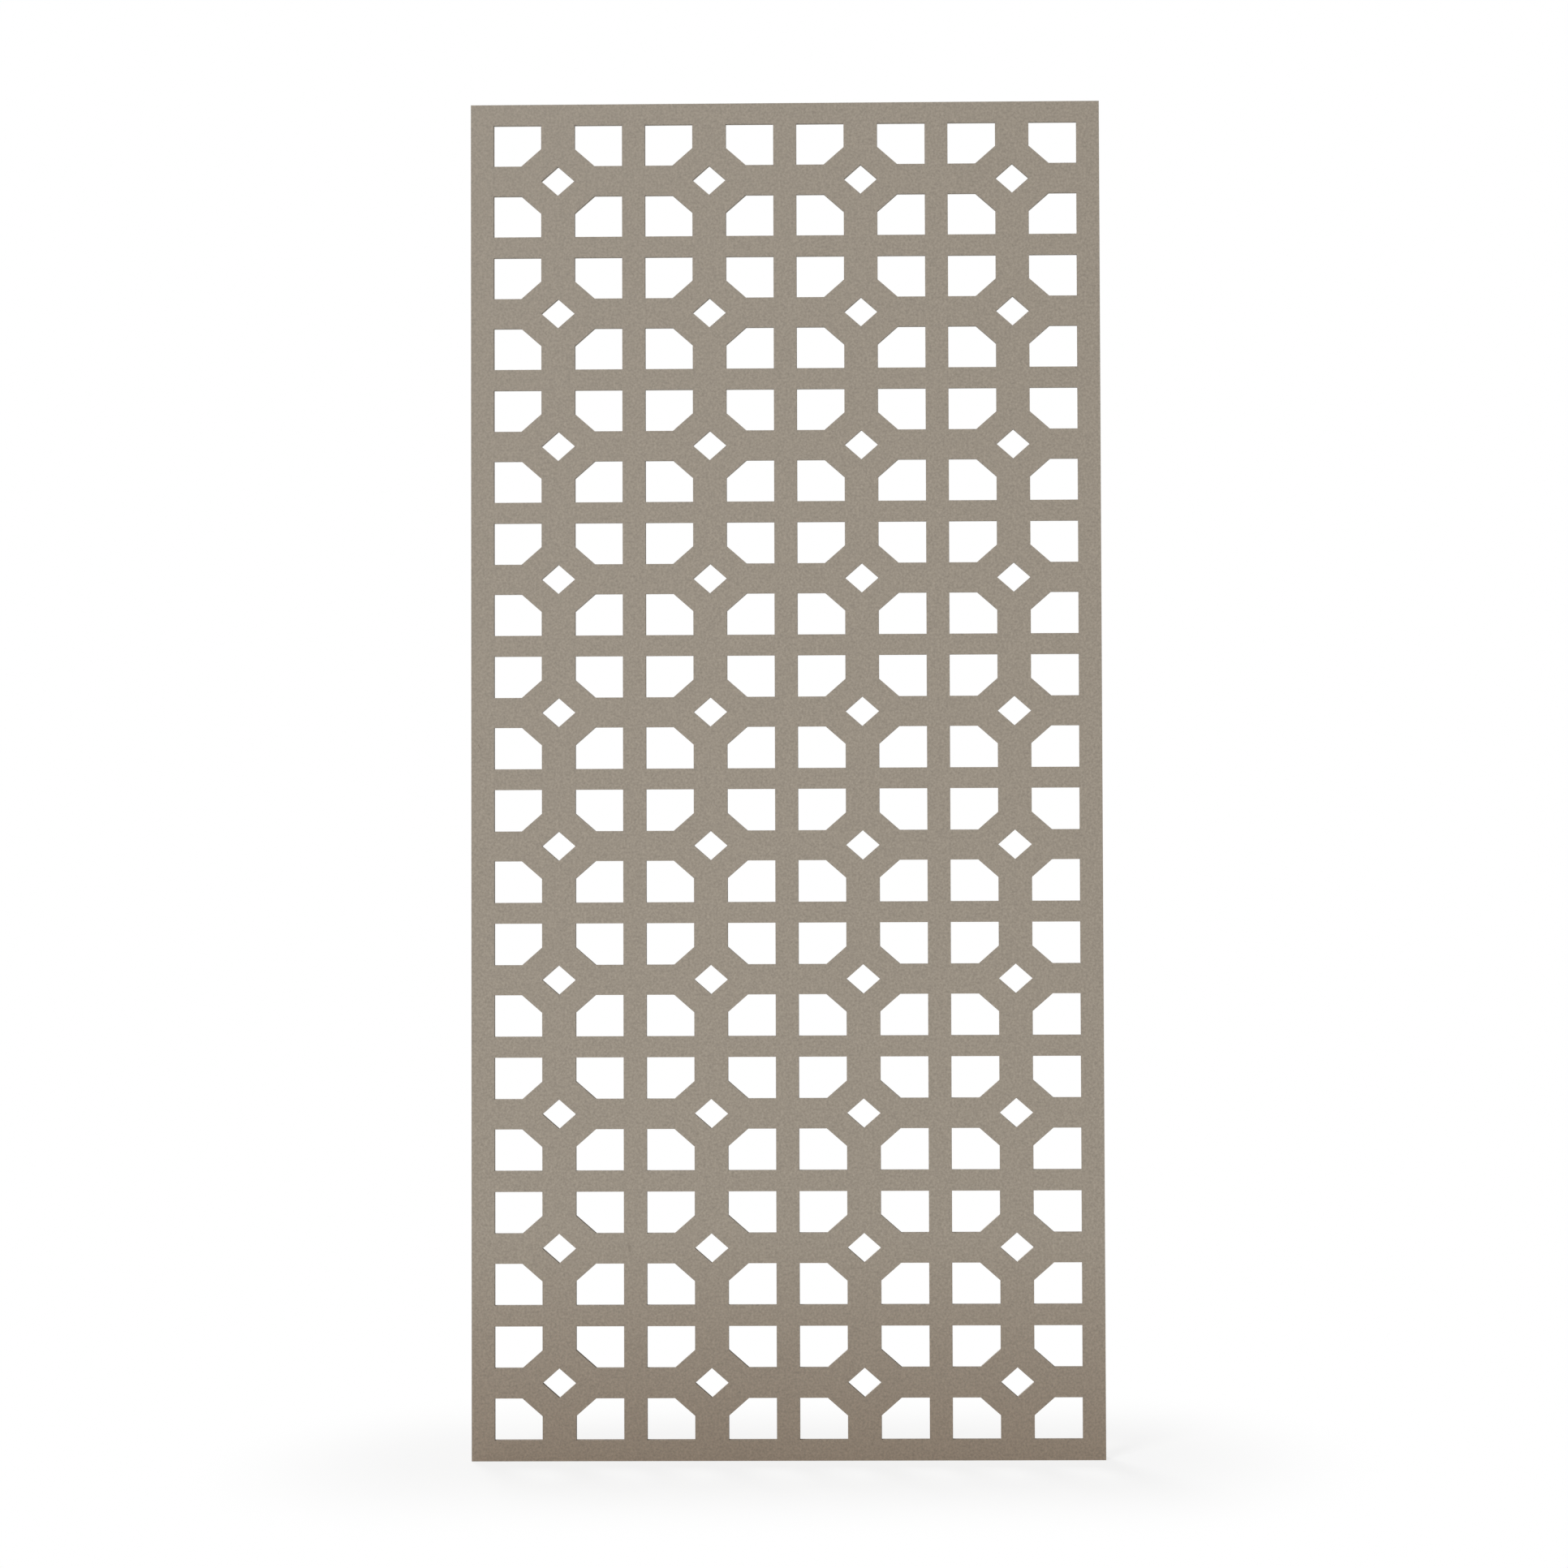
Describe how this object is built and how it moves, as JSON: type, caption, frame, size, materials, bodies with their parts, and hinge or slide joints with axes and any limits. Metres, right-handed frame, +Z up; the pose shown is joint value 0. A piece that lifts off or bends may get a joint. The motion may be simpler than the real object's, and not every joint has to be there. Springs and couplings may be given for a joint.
{
  "type": "laser cut metal screen",
  "caption": "Rigid room screen panel of laser cut metal sheet on a hidden welded frame of square tube, with a chamfered square and diamond lattice.",
  "frame": {"origin": "middle of the panel's bottom edge, at mid thickness", "axes": "+Z up the panel, front skin faces -Y, X across the panel"},
  "size_m": [0.914, 0.026, 1.9652],
  "materials": {
    "skin_coat": "matt taupe powder coat with a fine texture, slightly browner near the bottom",
    "edge_coat": "matt taupe powder coat over dressed welds",
    "core_coat": "matt taupe powder coat over welded joints"
  },
  "bodies": {
    "root": {"front_skin": "skin_coat", "left_stile": "edge_coat", "right_stile": "edge_coat", "top_rail": "edge_coat", "bottom_rail": "edge_coat", "mullion_1": "core_coat", "mullion_2": "core_coat", "mullion_3": "core_coat", "cross_rail_1_1": "core_coat", "cross_rail_1_2": "core_coat", "cross_rail_1_3": "core_coat", "cross_rail_1_4": "core_coat", "cross_rail_2_1": "core_coat", "cross_rail_2_2": "core_coat", "cross_rail_2_3": "core_coat", "cross_rail_2_4": "core_coat", "cross_rail_3_1": "core_coat", "cross_rail_3_2": "core_coat", "cross_rail_3_3": "core_coat", "cross_rail_3_4": "core_coat", "cross_rail_4_1": "core_coat", "cross_rail_4_2": "core_coat", "cross_rail_4_3": "core_coat", "cross_rail_4_4": "core_coat"}
  },
  "joints": []
}
